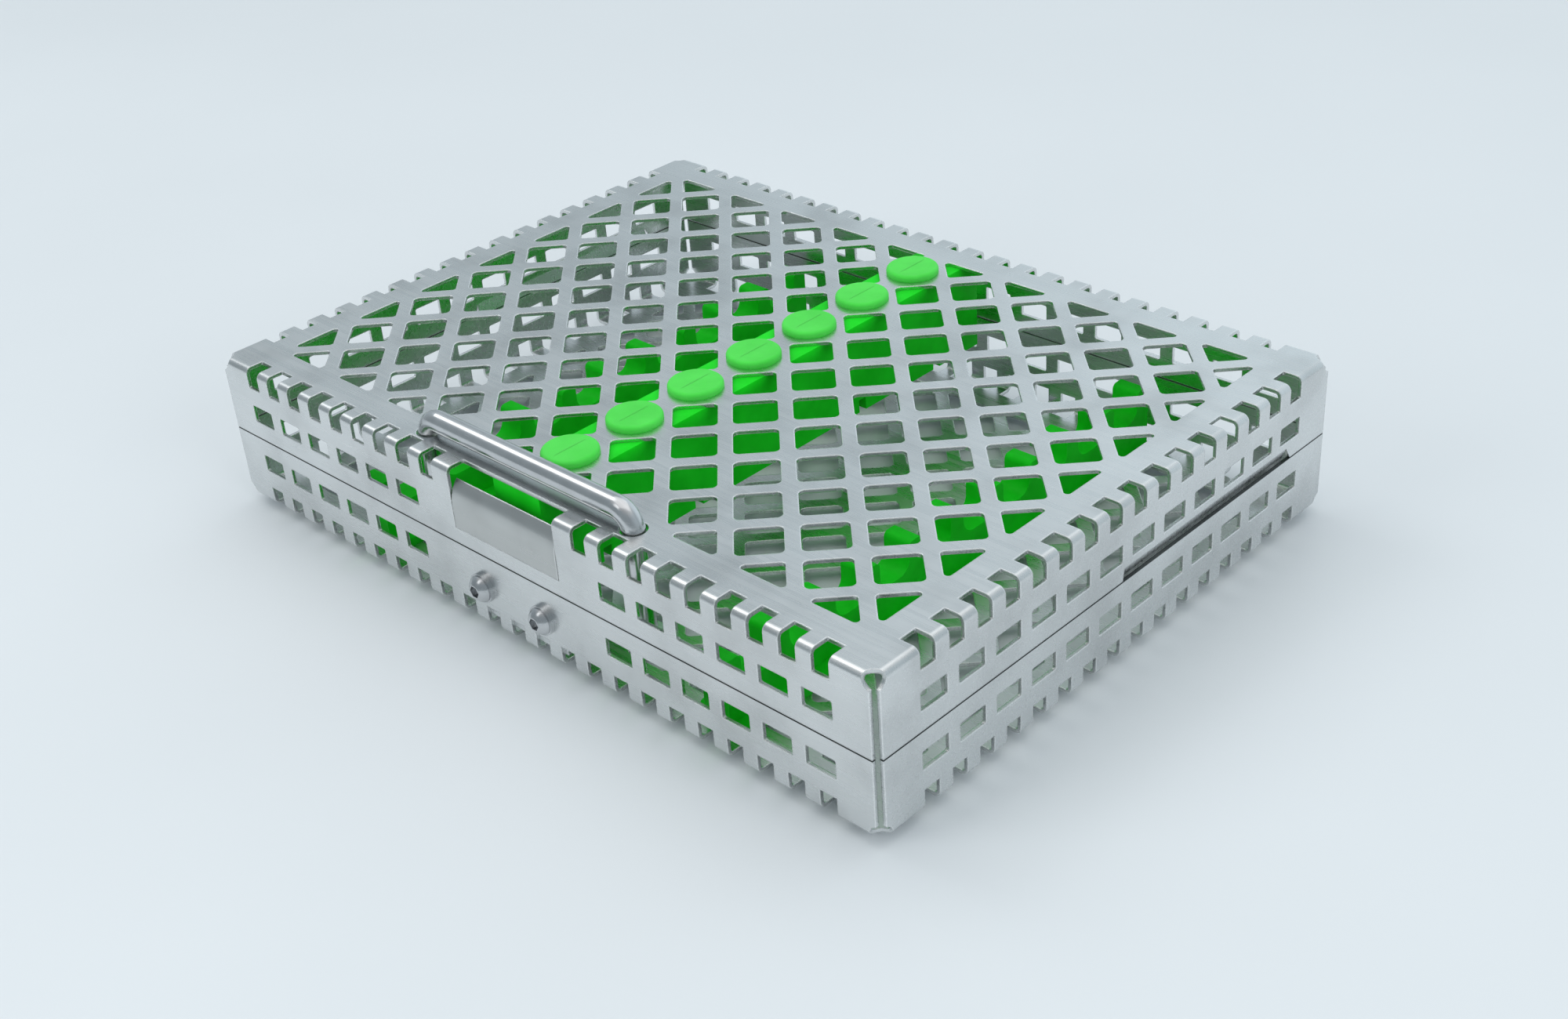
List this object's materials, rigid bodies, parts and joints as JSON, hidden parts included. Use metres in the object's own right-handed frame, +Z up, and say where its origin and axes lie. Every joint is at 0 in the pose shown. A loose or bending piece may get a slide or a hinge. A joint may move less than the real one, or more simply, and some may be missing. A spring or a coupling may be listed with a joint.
{
  "type": "instrument tray",
  "caption": "Perforated stainless steel instrument tray with a hinged lid, slide-up handle, sprung latch tongue and green silicone rails.",
  "frame": {"origin": "under the middle of the tray body, on the plane its silicone feet stand on", "axes": "+X along the long side, +Y towards the hinge side, +Z up; the handle and latch are on the -Y side"},
  "size_m": [0.189, 0.1457, 0.0416],
  "materials": {
    "satin_steel": "satin stainless sheet",
    "polished_steel": "polished stainless",
    "green_silicone": "smooth translucent silicone"
  },
  "bodies": {
    "base": {"base_shell": "satin_steel", "base_rail_left": "green_silicone", "base_rail_right": "green_silicone", "latch_bracket": "satin_steel", "latch_screw_left": "polished_steel", "latch_screw_right": "polished_steel", "latch_washer_left": "polished_steel", "latch_washer_right": "polished_steel", "latch_nut_left": "polished_steel", "latch_nut_right": "polished_steel", "hinge_base_leaf_left": "satin_steel", "hinge_base_leaf_right": "satin_steel", "hinge_pin_left": "polished_steel", "hinge_pin_right": "polished_steel"},
    "lid": {"lid_shell": "satin_steel", "lid_bar": "green_silicone", "hinge_lid_leaf_left": "satin_steel", "hinge_lid_leaf_right": "satin_steel"},
    "handle": {"handle_rod": "polished_steel", "handle_stop_left": "polished_steel", "handle_stop_right": "polished_steel"},
    "release": {"release_tongue": "satin_steel", "tongue_catch": "satin_steel"}
  },
  "joints": [
    {"name": "lid_hinge", "type": "hinge", "parent": "base", "child": "lid", "pos_m": [0, 0.0716, 0.019], "axis": [-1, 0, 0], "range_deg": [0, 105]},
    {"name": "handle_slide", "type": "slide", "parent": "lid", "child": "handle", "axis": [0, 0, 1], "range_m": [0, 0.02]},
    {"name": "tongue_flex", "type": "hinge", "parent": "lid", "child": "release", "pos_m": [0, -0.0695, 0.02264], "axis": [1, 0, 0], "range_deg": [0, 12], "stiffness_Nm_per_rad": 0.6}
  ]
}
